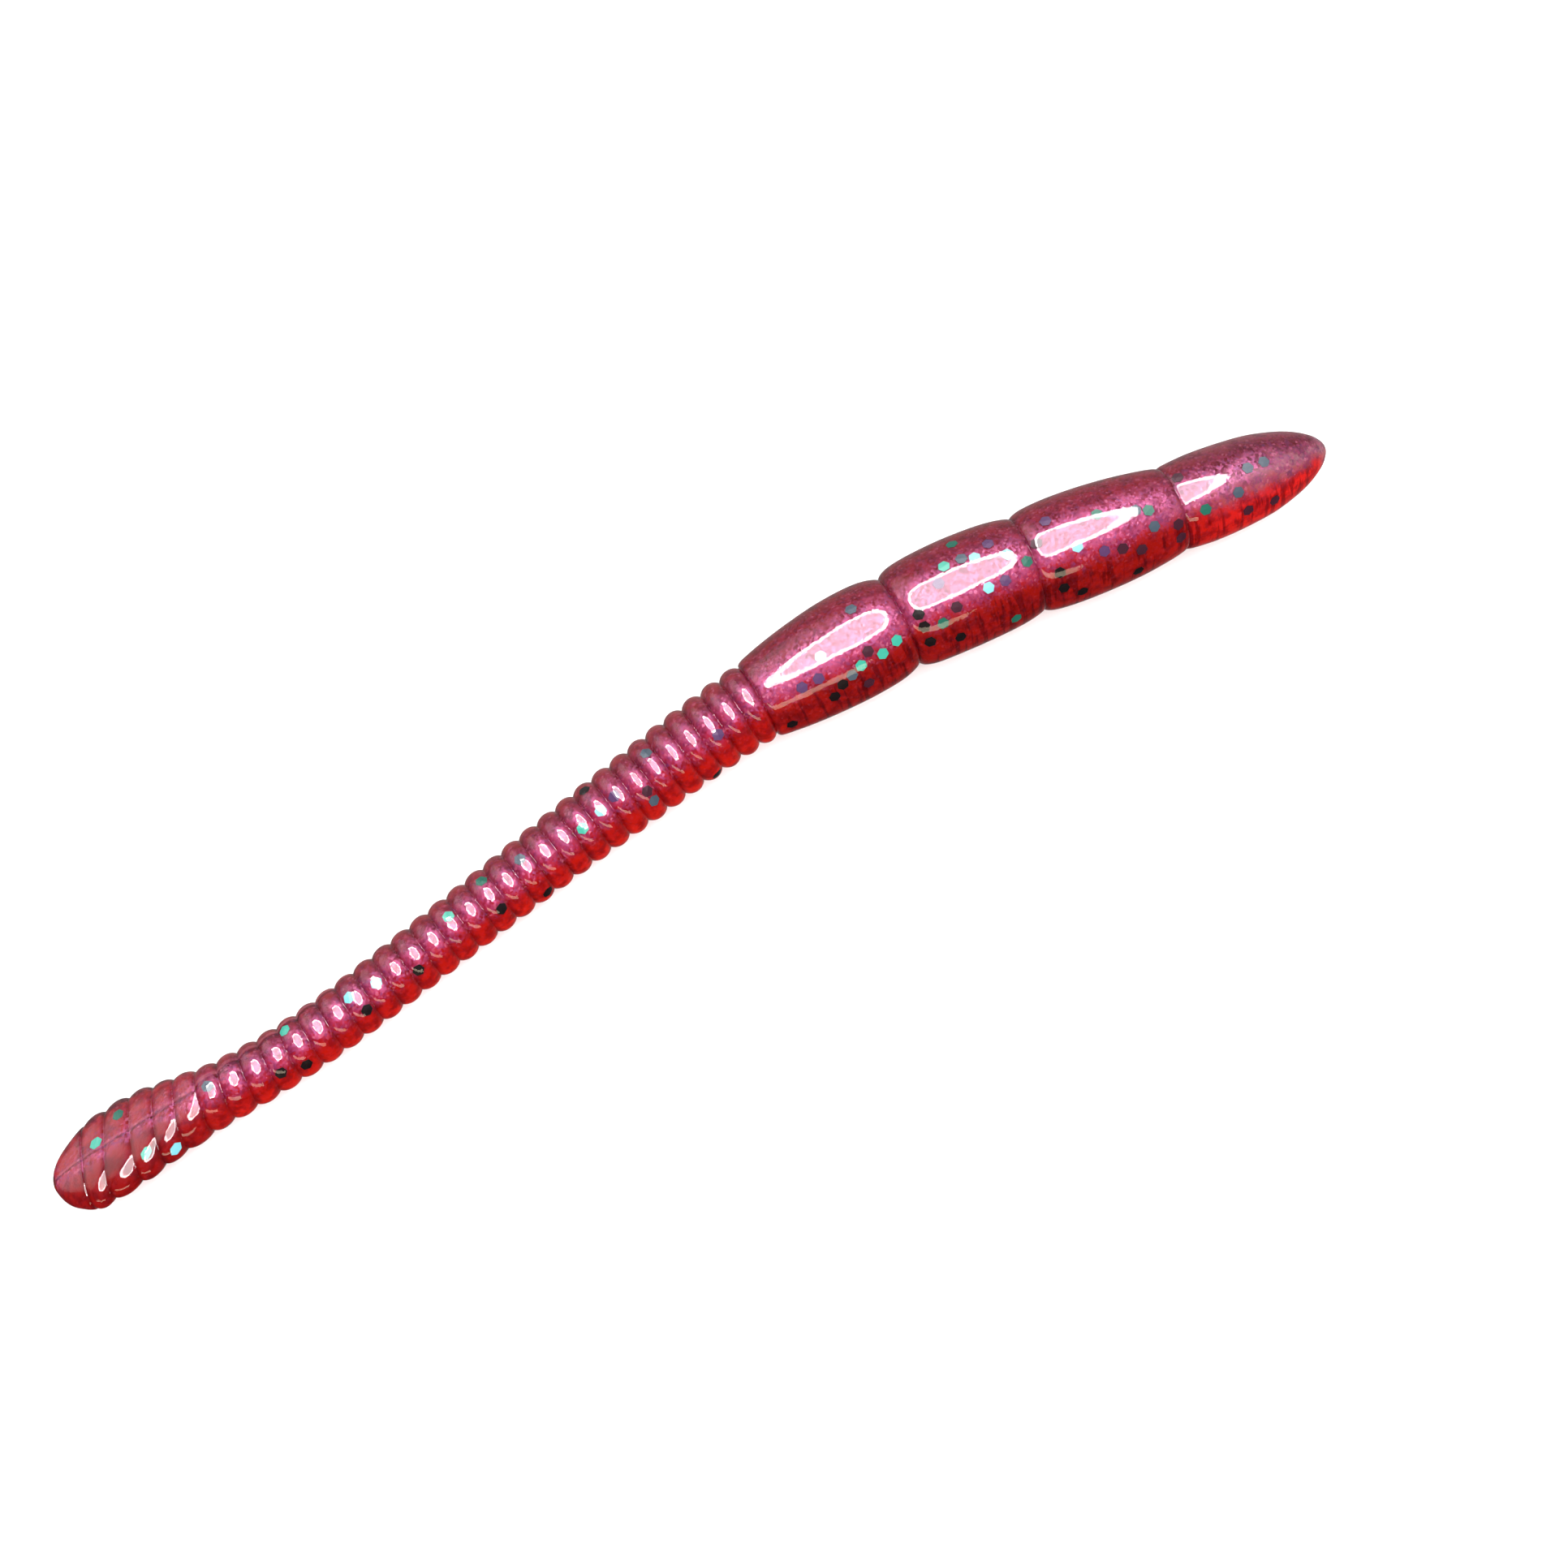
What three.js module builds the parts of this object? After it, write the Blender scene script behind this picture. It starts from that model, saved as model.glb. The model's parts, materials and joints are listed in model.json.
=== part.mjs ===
import * as THREE from "three";

// A soft plastic fishing worm, lying at rest in a gentle S on a flat surface.
// Millimetres, +Z up, +X from the tail towards the nose.
// The real worm is one soft moulding. It bends at its moulded grooves, so each stretch between
// two grooves is a body here, and the gap at each groove stands for the soft neck that bends.

// Lengths along the worm's axis, from the tail's tip to the nose. The paddle's ribs are listed
// from the head's side to the tail's.
const TAIL_TIP_LENGTH = 3.05;
const PADDLE_RIB_LENGTHS = [2.04, 1.93, 2.1, 2.25, 2.05];
const RINGS = 29;
const RING_PITCH_AT_TAIL = 1.94;
const RING_PITCH_AT_HEAD = 1.84;
const REAR_BARREL_LENGTH = 13.15;
const MIDDLE_BARREL_LENGTH = 11.55;
const FRONT_BARREL_LENGTH = 12.9;
const NOSE_LENGTH = 14.2;

// The gap left on the axis at each groove, and how far each end face is coned back from flat.
// The cones let two neighbours bend by the joint's range without touching.
const GROOVE_GAP = 0.3;
const RING_FACE_CONE = THREE.MathUtils.degToRad(4.9);
const BARREL_FACE_CONE = THREE.MathUtils.degToRad(6.8);

// The rings' crest radius at distances from the tail's tip, and the groove's depth beside it.
const RING_CREST_RADIUS = [
  [12.6, 2.62],
  [19, 2.5],
  [34, 2.6],
  [46, 2.8],
  [58, 3.15],
  [68.2, 3.4],
];
const GROOVE_DEPTH_SHARE = 0.125;

// The paddle's ribs, from the head's side to the tail's: half width, and half thickness.
const PADDLE_RIB_HALF_WIDTH = [2.99, 3.45, 3.94, 4.1, 3.99];
const PADDLE_RIB_HALF_THICKNESS = [2.15, 1.85, 1.6, 1.5, 1.48];
const TAIL_TIP_HALF_THICKNESS = 1.45;
// How much rounder than its flat face a paddle piece is before the face is taken off.
const PADDLE_ROUNDNESS = 1.22;

// The grooves cross the axis at a slant near the tail: shift along the axis per unit of width,
// for each groove, counted from the tail's tip.
const GROOVE_SLANTS = [
  0.28, 0.33, 0.28, 0.26, 0.24, 0.18, 0.16, 0.12, 0.08, 0.08, 0.06, 0.06, 0.06, 0.06, 0.06, 0.05,
  0.05, 0.05, 0.05, 0.04, 0.04, 0.03, 0.02,
];

// How far the tail is twisted about its axis, in degrees, at distances from the tail's tip. The
// paddle's flat face leans to the worm's left, so its right edge is lifted off the surface.
const TWISTS = [
  [9.4, -27],
  [11.4, -24],
  [13.4, -17],
  [15.4, -9],
  [17.3, -3],
  [19.2, 0],
];

// The direction the worm's axis points, in degrees from +X, at distances from the tail's tip.
const HEADINGS = [
  [0, 1.5],
  [5, 1.5],
  [8, -0.5],
  [11.5, -3.4],
  [15, -2.6],
  [19, 0.8],
  [23, 4.2],
  [27, 6.8],
  [31, 7.8],
  [42, 7.8],
  [58, 6.3],
  [67, 3.2],
];
const REAR_BARREL_HEADING = -0.9;
const MIDDLE_BARREL_HEADING = -6.6;
const FRONT_BARREL_HEADING = -9.9;
const NOSE_HEADING = -6.8;

// The axis's height above the surface at each of the head's grooves and at the nose's tip.
// Between the rings and the rear barrel the axis climbs by the last figure.
const REAR_BARREL_HEIGHTS = [4.08, 4.57];
const FRONT_BARREL_HEIGHTS = [4.45, 4.23];
const NOSE_TIP_HEIGHT = 2.85;
const CLIMB_TO_BARREL = 0.72;
const CLIMB_LENGTH = 13;

// Outlines of the head's pieces: distance from the piece's tail end, and radius.
const REAR_BARREL_OUTLINE = [
  [0.75, 3.5],
  [2.4, 3.85],
  [4.3, 4.14],
  [6.3, 4.34],
  [7.9, 4.46],
  [9.4, 4.46],
  [11.3, 4.35],
  [12.3, 4.08],
];
const MIDDLE_BARREL_OUTLINE = [
  [0.75, 4.16],
  [1.6, 4.42],
  [3.2, 4.53],
  [4.7, 4.59],
  [6.3, 4.59],
  [8.3, 4.52],
  [9.8, 4.36],
  [10.8, 4.18],
];
const FRONT_BARREL_OUTLINE = [
  [0.75, 4.2],
  [1.7, 4.39],
  [3.3, 4.47],
  [4.9, 4.47],
  [6.8, 4.4],
  [8.8, 4.26],
  [10.7, 4],
  [12.1, 3.67],
];
const NOSE_OUTLINE = [
  [0.75, 3.64],
  [2.3, 3.75],
  [3.8, 3.75],
  [5.6, 3.66],
  [7.3, 3.51],
  [8.9, 3.24],
  [10.5, 2.83],
  [12, 2.3],
  [13.1, 1.68],
  [13.7, 1.02],
  [13.95, 0.55],
];
const TAIL_TIP_OUTLINE = [
  [0.2, 0.98],
  [0.5, 1.62],
  [1.05, 2.3],
  [1.75, 2.86],
  [2.6, 3.42],
];

const RING_SIDES = 24;
const BARREL_SIDES = 32;
const PADDLE_SIDES = 28;

const RED = 0xb01c24;
const DEEP_RED = 0x9a1822;
const ROSE = 0xa82a3c;

// The value at a distance along a list of [distance, value] pairs, straight between them.
function along(pairs, distance) {
  if (distance <= pairs[0][0]) return pairs[0][1];
  for (let i = 1; i < pairs.length; i++) {
    const [from, low] = pairs[i - 1];
    const [to, high] = pairs[i];
    if (distance <= to) return low + ((high - low) * (distance - from)) / (to - from);
  }
  return pairs[pairs.length - 1][1];
}

// A body turned about +X from [distance, radius] pairs, with a flat of its polygon facing down.
function turned(outline, sides) {
  const points = outline.map(([distance, radius]) => new THREE.Vector2(radius, distance));
  const body = new THREE.LatheGeometry(points, sides, Math.PI / sides);
  body.rotateZ(-Math.PI / 2);
  return body;
}

// Adds the coned end faces to an outline: the near one, the far one, or both.
function withFaces(outline, length, cone, near, far) {
  const closed = [...outline];
  if (near) {
    closed.unshift([GROOVE_GAP / 2, 0]);
    closed[1] = [GROOVE_GAP / 2 + closed[1][1] * Math.tan(cone), closed[1][1]];
  }
  if (far) {
    const last = closed[closed.length - 1][1];
    closed[closed.length - 1] = [length - GROOVE_GAP / 2 - last * Math.tan(cone), last];
    closed.push([length - GROOVE_GAP / 2, 0]);
  }
  return closed;
}

// One round ring's outline: rim, rounded shoulder, a short flat crest, shoulder, rim.
function ringOutline(pitch, crest) {
  const depth = crest * GROOVE_DEPTH_SHARE;
  const groove = crest - depth;
  const rim = GROOVE_GAP / 2 + groove * Math.tan(RING_FACE_CONE);
  const half = [
    [rim, groove],
    [rim + 0.12, groove + 0.5 * depth],
    [rim + 0.28, groove + 0.85 * depth],
    [pitch / 2 - 0.16, crest],
  ];
  const mirrored = half.map(([distance, radius]) => [pitch - distance, radius]).reverse();
  return withFaces([...half, ...mirrored], pitch, RING_FACE_CONE, true, true);
}

// Moves each point of a body along the axis by its width times the slant of the nearest groove.
function slanted(body, length, tailSlant, headSlant) {
  const points = body.getAttribute("position");
  for (let i = 0; i < points.count; i++) {
    const share = THREE.MathUtils.clamp(points.getX(i) / length, 0, 1);
    const slant = tailSlant + (headSlant - tailSlant) * share;
    points.setX(i, points.getX(i) + slant * points.getY(i));
  }
  return body;
}

// Presses a round body into a paddle: thinner, with a flat face above and below.
function flattened(body, roundHalf, flatHalf, round) {
  const points = body.getAttribute("position");
  for (let i = 0; i < points.count; i++) {
    const pressed = (points.getZ(i) * flatHalf * round) / roundHalf;
    points.setZ(i, THREE.MathUtils.clamp(pressed, -flatHalf, flatHalf));
  }
  return body;
}

// How far a paddle piece's lowest point is below its axis, when it is twisted.
function reachBelow(halfWidth, halfThickness, round, twist) {
  const angle = THREE.MathUtils.degToRad(twist);
  return Math.hypot(halfWidth * Math.sin(angle), halfThickness * round * Math.cos(angle));
}

// The pieces from the tail to the nose, each with its length, heading, body, and how high its
// axis rests above the surface.
const pieces = [];

function slantAt(groove) {
  return GROOVE_SLANTS[groove] ?? 0;
}

// The tail's tip: a flat rounded lobe.
const tipRadius = TAIL_TIP_OUTLINE[TAIL_TIP_OUTLINE.length - 1][1];
const tipOutline = withFaces(
  [[0, 0], ...TAIL_TIP_OUTLINE],
  TAIL_TIP_LENGTH,
  RING_FACE_CONE,
  false,
  true,
);
pieces.push({
  name: "tail_tip",
  length: TAIL_TIP_LENGTH,
  color: ROSE,
  body: slanted(
    flattened(
      turned(tipOutline, PADDLE_SIDES),
      tipRadius,
      TAIL_TIP_HALF_THICKNESS,
      PADDLE_ROUNDNESS,
    ),
    TAIL_TIP_LENGTH,
    slantAt(0) / 2,
    slantAt(0),
  ),
  rest: reachBelow(tipRadius * 0.8, TAIL_TIP_HALF_THICKNESS, PADDLE_ROUNDNESS, TWISTS[0][1]),
});

// The paddle's ribs, flat like the tip, growing rounder towards the rings.
let reached = TAIL_TIP_LENGTH;
for (let rib = PADDLE_RIB_LENGTHS.length; rib >= 1; rib--) {
  const groove = PADDLE_RIB_LENGTHS.length - rib;
  const ribLength = PADDLE_RIB_LENGTHS[rib - 1];
  const halfWidth = PADDLE_RIB_HALF_WIDTH[rib - 1];
  const halfThickness = PADDLE_RIB_HALF_THICKNESS[rib - 1];
  const flatShare = (rib - 1) / (PADDLE_RIB_LENGTHS.length - 1);
  const round = THREE.MathUtils.lerp(1.1, PADDLE_ROUNDNESS, flatShare);
  const outline = ringOutline(ribLength, halfWidth);
  const body = flattened(turned(outline, PADDLE_SIDES), halfWidth, halfThickness, round);
  pieces.push({
    name: `paddle_rib_${rib}`,
    length: ribLength,
    color: ROSE,
    body: slanted(body, ribLength, slantAt(groove), slantAt(groove + 1)),
    rest: reachBelow(halfWidth, halfThickness, round, along(TWISTS, reached + ribLength / 2)),
  });
  reached += ribLength;
}

// The rings, round, with the pitch closing up a little towards the head.
for (let i = 0; i < RINGS; i++) {
  const share = i / (RINGS - 1);
  const pitch = THREE.MathUtils.lerp(RING_PITCH_AT_TAIL, RING_PITCH_AT_HEAD, share);
  const crest = along(RING_CREST_RADIUS, reached + pitch / 2);
  const groove = PADDLE_RIB_LENGTHS.length + i;
  const body = turned(ringOutline(pitch, crest), RING_SIDES);
  pieces.push({
    name: `ring_${String(RINGS - i).padStart(2, "0")}`,
    length: pitch,
    color: DEEP_RED,
    body: slanted(body, pitch, slantAt(groove), slantAt(groove + 1)),
    rest: crest * Math.cos(Math.PI / RING_SIDES),
  });
  reached += pitch;
}
const ringsEnd = reached;

// The head: three barrels and the nose, each turned from its own outline.
const head = [
  ["barrel_rear", REAR_BARREL_LENGTH, REAR_BARREL_OUTLINE, REAR_BARREL_HEADING],
  ["barrel_middle", MIDDLE_BARREL_LENGTH, MIDDLE_BARREL_OUTLINE, MIDDLE_BARREL_HEADING],
  ["barrel_front", FRONT_BARREL_LENGTH, FRONT_BARREL_OUTLINE, FRONT_BARREL_HEADING],
  ["nose", NOSE_LENGTH, NOSE_OUTLINE, NOSE_HEADING],
];
for (const [name, length, outline, heading] of head) {
  const isNose = name === "nose";
  const closed = withFaces(outline, length, BARREL_FACE_CONE, true, !isNose);
  if (isNose) closed.push([length, 0]);
  pieces.push({ name, length, heading, color: RED, body: turned(closed, BARREL_SIDES) });
}

// The axis heights at the grooves. The tail and rings rest on the surface, then the axis climbs
// to the barrels, which are the thickest.
const heights = [];
let station = 0;
for (let i = 0; i < pieces.length; i++) {
  const piece = pieces[i];
  const before = pieces[Math.max(i - 1, 0)];
  const nearBarrel = (station - (ringsEnd - CLIMB_LENGTH)) / CLIMB_LENGTH;
  const climb = CLIMB_TO_BARREL * THREE.MathUtils.smoothstep(nearBarrel, 0, 1);
  if (piece.rest !== undefined) heights.push((piece.rest + before.rest) / 2 + climb);
  station += piece.length;
}
heights.push(...REAR_BARREL_HEIGHTS, ...FRONT_BARREL_HEIGHTS, NOSE_TIP_HEIGHT);

// The grooves' centres, from the headings and the heights. Each piece runs from one to the next.
const centres = [new THREE.Vector3(0, 0, heights[0])];
station = 0;
for (let i = 0; i < pieces.length; i++) {
  const { length } = pieces[i];
  const degrees = pieces[i].heading ?? along(HEADINGS, station + length / 2);
  const heading = THREE.MathUtils.degToRad(degrees);
  const rise = heights[i + 1] - heights[i];
  const flat = Math.sqrt(length * length - rise * rise);
  const step = new THREE.Vector3(Math.cos(heading) * flat, Math.sin(heading) * flat, rise);
  pieces[i].heading = heading;
  pieces[i].twist = THREE.MathUtils.degToRad(along(TWISTS, station + length / 2));
  pieces[i].pitch = Math.atan2(rise, flat);
  centres.push(centres[i].clone().add(step));
  station += length;
}

// Each mesh's own origin is the centre of the groove it bends at: the one towards the rear
// barrel, which is the piece all the others hang from.
const worm = new THREE.Group();
worm.name = "soft_plastic_worm";
const rootAt = pieces.findIndex((piece) => piece.name === "barrel_rear");
for (let i = 0; i < pieces.length; i++) {
  const { name, length, color, body, heading, pitch, twist } = pieces[i];
  const bendsAtHeadEnd = i < rootAt;
  const finish = new THREE.MeshStandardMaterial({ color, roughness: 0.2, metalness: 0 });
  if (bendsAtHeadEnd) body.translate(-length, 0, 0);
  const mesh = new THREE.Mesh(body, finish);
  mesh.name = name;
  mesh.rotation.set(twist, -pitch, heading, "ZYX");
  mesh.position.copy(bendsAtHeadEnd ? centres[i + 1] : centres[i]);
  worm.add(mesh);
}

// The frame's origin is under the middle of the worm's box, on the surface it rests on.
worm.updateMatrixWorld(true);
const box = new THREE.Box3().setFromObject(worm, true);
const middle = box.getCenter(new THREE.Vector3());
worm.children.forEach((mesh) => {
  mesh.position.x -= middle.x;
  mesh.position.y -= middle.y;
  mesh.position.z -= box.min.z;
});

export default worm;
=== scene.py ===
import bisect
import json
import math
import random

import bpy
from mathutils import Matrix, Vector

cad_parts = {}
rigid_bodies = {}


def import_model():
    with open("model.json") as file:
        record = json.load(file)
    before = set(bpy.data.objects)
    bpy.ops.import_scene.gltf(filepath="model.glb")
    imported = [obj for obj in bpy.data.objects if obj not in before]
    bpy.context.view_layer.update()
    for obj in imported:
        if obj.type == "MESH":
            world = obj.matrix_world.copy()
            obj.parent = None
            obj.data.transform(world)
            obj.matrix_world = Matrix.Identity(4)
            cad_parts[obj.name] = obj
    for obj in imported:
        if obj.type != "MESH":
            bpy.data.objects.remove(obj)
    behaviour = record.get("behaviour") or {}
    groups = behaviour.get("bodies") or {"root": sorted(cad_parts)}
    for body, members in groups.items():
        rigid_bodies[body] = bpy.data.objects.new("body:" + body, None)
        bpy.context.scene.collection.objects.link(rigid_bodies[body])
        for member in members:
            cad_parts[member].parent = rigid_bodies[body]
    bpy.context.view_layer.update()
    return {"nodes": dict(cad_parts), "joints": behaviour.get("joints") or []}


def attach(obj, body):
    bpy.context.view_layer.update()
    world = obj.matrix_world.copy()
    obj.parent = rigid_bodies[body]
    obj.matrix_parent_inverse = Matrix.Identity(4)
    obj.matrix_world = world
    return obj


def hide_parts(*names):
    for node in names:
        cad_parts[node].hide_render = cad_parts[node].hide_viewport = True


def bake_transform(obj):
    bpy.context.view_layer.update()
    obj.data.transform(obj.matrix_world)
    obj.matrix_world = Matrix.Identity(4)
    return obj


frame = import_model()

MM = 0.001


# ---------------------------------------------------------------------------------------------
# The worm's line.
# The real worm is one soft moulding that lies in a gentle S and bends at its moulded grooves.
# Its middle line runs through the centre of every groove, from the tail's tip to the nose.

RINGS = 29
RIBS = 5
segments = ["tail_tip"]
segments += [f"paddle_rib_{number}" for number in range(RIBS, 0, -1)]
segments += [f"ring_{number:02d}" for number in range(RINGS, 0, -1)]
segments += ["barrel_rear", "barrel_middle", "barrel_front", "nose"]

groove_centres = {
    frozenset((joint["parent"], joint["child"])): Vector(joint["pos_m"])
    for joint in frame["joints"]
}
tail_points = [corner.co for corner in frame["nodes"]["tail_tip"].data.vertices]
nose_points = [corner.co for corner in frame["nodes"]["nose"].data.vertices]
line = [min(tail_points, key=lambda point: point.x).copy()]
line += [groove_centres[frozenset(pair)] for pair in zip(segments, segments[1:])]
line += [max(nose_points, key=lambda point: point.x).copy()]

# How far along the line each groove is, and the middle of each segment.
reach = [0.0]
for before, after in zip(line, line[1:]):
    reach.append(reach[-1] + (after - before).length)
middles = [(near + far) / 2 for near, far in zip(reach, reach[1:])]
courses = [(after - before).normalized() for before, after in zip(line, line[1:])]


def line_at(along):
    """The point on the line at a distance from the tail, and the line's direction there."""
    if along <= middles[0]:
        return line[0] + courses[0] * along, courses[0]
    if along >= middles[-1]:
        return line[-1] + courses[-1] * (along - reach[-1]), courses[-1]
    before = bisect.bisect_right(middles, along) - 1
    groove = before + 1
    near_half = reach[groove] - middles[before]
    far_half = middles[groove] - reach[groove]
    rest = along - middles[before]
    grow = far_half - near_half
    if abs(grow) < 1e-9:
        share = rest / (2 * near_half)
    else:
        share = (math.sqrt(near_half * near_half + grow * rest) - near_half) / grow
    start = line[groove] - courses[before] * near_half
    end = line[groove] + courses[groove] * far_half
    bend = line[groove]
    point = start * (1 - share) ** 2 + bend * (2 * share * (1 - share)) + end * share ** 2
    course = (bend - start) * (1 - share) + (end - bend) * share
    return point, course.normalized()


def straight_between(pairs, at):
    """The value at a distance along a list of (distance, value) pairs."""
    if at <= pairs[0][0]:
        return pairs[0][1]
    for (low, first), (high, second) in zip(pairs, pairs[1:]):
        if at <= high:
            return first + (second - first) * (at - low) / (high - low)
    return pairs[-1][1]


def smooth_through(pairs, at):
    """As straight_between, with the corners rounded off."""
    if at <= pairs[0][0]:
        return pairs[0][1]
    if at >= pairs[-1][0]:
        return pairs[-1][1]
    index = bisect.bisect_right([distance for distance, _ in pairs], at) - 1

    def slope(place):
        low = pairs[max(place - 1, 0)]
        high = pairs[min(place + 1, len(pairs) - 1)]
        return (high[1] - low[1]) / (high[0] - low[0])

    (low, first), (high, second) = pairs[index], pairs[index + 1]
    span = high - low
    share = (at - low) / span
    square = share * share
    cube = square * share
    return (
        first * (2 * cube - 3 * square + 1)
        + second * (3 * square - 2 * cube)
        + slope(index) * span * (cube - 2 * square + share)
        + slope(index + 1) * span * (cube - square)
    )


# ---------------------------------------------------------------------------------------------
# The ringed body.
# Twenty-nine bead-like rings, each a shallow round-topped swell with a sharp groove on both
# sides. They thicken towards the barrels.

# Millimetres from the tail's tip, and the radius of the rings' crests there.
RING_CRESTS = [
    (12.6, 2.66),
    (19, 2.5),
    (34, 2.6),
    (46, 2.8),
    (58, 3.15),
    (68.2, 3.42),
]
RING_GROOVE_SHARE = 0.14
SWELL_FULLNESS = 0.78
# How high the rings' flat face is, in radii: the first rings still have a little of it.
RING_FLATS = [(13.4, 1.1), (18, 3)]


def swell(share):
    """0 on a ring's crest and 1 in the grooves either side, along a round back."""
    side = math.sqrt(1 - (SWELL_FULLNESS * min(abs(share), 1)) ** 2)
    return (1 - side) / (1 - math.sqrt(1 - SWELL_FULLNESS ** 2))


def ring_radius(along, share, grooved):
    """The radius of the ringed body: grooved is 1 as moulded and 0 with the grooves filled."""
    crest = smooth_through(RING_CRESTS, along)
    return crest * (1 - RING_GROOVE_SHARE * grooved * swell(share))


# ---------------------------------------------------------------------------------------------
# The paddle tail.
# Five ribs that carry on the rings, pressed flat above and below, with slanted grooves, and a
# flat rounded lobe at the tip.

# Millimetres from the tail's tip, and the paddle's half width on the ribs' crests there.
RIB_CRESTS = [
    (3.0, 3.8),
    (4.1, 3.99),
    (6.2, 4.1),
    (8.4, 3.94),
    (10.4, 3.45),
    (12.4, 2.99),
    (14.4, 2.64),
]
# Half its thickness, from one flat face to the other.
PADDLE_THICKNESS = [
    (0, 1.44),
    (4.1, 1.48),
    (6.2, 1.5),
    (8.4, 1.6),
    (10.4, 1.85),
    (12.4, 2.15),
    (14.4, 2.62),
]
# How round the section is above its flat face: 1 has no flat.
PADDLE_ROUNDNESS = [(4, 1.24), (8.4, 1.18), (12.4, 1.12), (14.4, 1.04)]
RIB_GROOVE_SHARE = 0.1
# The lobe's half width, against the square root of the distance from the tip.
TAIL_LOBE = [
    (0, 0), (0.45, 1.0), (0.71, 1.62), (1.02, 2.3), (1.32, 2.86), (1.61, 3.4), (1.76, 3.62),
]
# The lobe is thinner where it is narrower than this on each side.
LOBE_FULL_WIDTH = 3.6
LOBE_EDGE_ROUNDNESS = 0.45
# How far each groove slants: shift along the worm per millimetre across it.
GROOVE_SLANTS = [0.28, 0.33, 0.28, 0.26, 0.24, 0.18, 0.16, 0.12, 0.08, 0.08, 0.06, 0.06, 0.06]
GROOVE_SLANTS += [0.06, 0.06, 0.05, 0.05, 0.05, 0.05, 0.04, 0.04, 0.03, 0.02, 0]
slants = [(0, GROOVE_SLANTS[0] / 2)]
slants += [(reach[place + 1] / MM, slant) for place, slant in enumerate(GROOVE_SLANTS)]
# The tail is twisted, in degrees, so its flat face leans to the worm's left.
TWISTS = [(9.4, -27), (11.4, -24), (13.4, -17), (15.4, -9), (17.3, -3), (19.2, 0)]


def paddle_half_width(along, segment, share, grooved):
    if segment == 0:
        return smooth_through(TAIL_LOBE, math.sqrt(max(along, 0)))
    crest = smooth_through(RIB_CRESTS, along)
    return crest * (1 - RIB_GROOVE_SHARE * grooved * swell(share))


# ---------------------------------------------------------------------------------------------
# The head.
# Three smooth barrels with deep rounded grooves between them, and a bullet-shaped nose. The
# rear barrel tapers down to the rings.

# Millimetres from the groove on the tail side, and the radius there.
HEAD_OUTLINES = {
    "barrel_rear": [
        (0, 3.2), (0.15, 3.36), (0.5, 3.5), (1.1, 3.63), (2.4, 3.87), (4.3, 4.14),
        (6.3, 4.34), (7.9, 4.45), (9.4, 4.47), (10.8, 4.42), (11.7, 4.31), (12.35, 4.15),
        (12.8, 3.98), (13.02, 3.85), (13.15, 3.72),
    ],
    "barrel_middle": [
        (0, 3.72), (0.12, 3.88), (0.35, 4.08), (0.8, 4.27), (1.5, 4.42), (2.8, 4.53),
        (4.7, 4.6), (6.3, 4.6), (8.3, 4.53), (9.6, 4.42), (10.5, 4.28), (11.1, 4.13),
        (11.43, 4.0), (11.55, 3.88),
    ],
    "barrel_front": [
        (0, 3.88), (0.12, 4.02), (0.4, 4.18), (0.9, 4.32), (1.8, 4.43), (3.3, 4.5),
        (4.9, 4.49), (6.8, 4.41), (8.8, 4.25), (10.7, 4.0), (11.8, 3.81), (12.4, 3.67),
        (12.75, 3.55), (12.9, 3.44),
    ],
    "nose": [
        (0, 3.44), (0.15, 3.54), (0.5, 3.62), (1.2, 3.69), (2.6, 3.77), (4.1, 3.75),
    ],
}
# From the tip back, against the square root of the distance, so the tip is round.
NOSE_TIP = [
    (0, 0), (0.3, 0.5), (0.55, 0.82), (0.85, 1.28), (1.18, 1.76), (1.6, 2.38),
    (1.92, 2.8), (2.2, 3.12), (2.43, 3.37), (2.65, 3.53), (2.85, 3.63), (3.02, 3.7),
    (3.18, 3.75),
]
NOSE_TIP_REACH = 10.1


def head_radius(name, from_groove, from_tip):
    if name == "nose" and from_tip < NOSE_TIP_REACH:
        return smooth_through(NOSE_TIP, math.sqrt(max(from_tip, 0)))
    return smooth_through(HEAD_OUTLINES[name], from_groove)


# ---------------------------------------------------------------------------------------------
# The outer plastic.
# Clear, glossy soft PVC. It is laid in lengths that each run from the middle of one segment to
# the middle of the next, so every length bends round the groove in its own middle.

FLOOR_CLEARANCE = 0.01
NO_FLAT = 3


def section_of(along, segment, grooved):
    """Half width, half thickness when round, and flat face height at a distance, in mm."""
    near, far = reach[segment] / MM, reach[segment + 1] / MM
    share = (2 * along - near - far) / (far - near)
    name = segments[segment]
    if segment <= RIBS:
        half = paddle_half_width(along, segment, share, grooved)
        flat = smooth_through(PADDLE_THICKNESS, along)
        roundness = straight_between(PADDLE_ROUNDNESS, along)
        if segment == 0:
            flat *= min(1, half / LOBE_FULL_WIDTH) ** LOBE_EDGE_ROUNDNESS
            return half, flat * roundness, flat
        shrink = 1 - RIB_GROOVE_SHARE * grooved * swell(share)
        return half, flat * roundness * shrink, flat * shrink
    if segment <= RIBS + RINGS:
        radius = ring_radius(along, share, grooved)
        return radius, radius, radius * straight_between(RING_FLATS, along)
    radius = head_radius(name, along - near, reach[-1] / MM - along)
    return radius, radius, radius * NO_FLAT


FLATTENING = 8
# What is under the skin stays clear of its underside, by this for each unit of smaller size.
UNDERSIDE_WALL = 2


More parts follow.
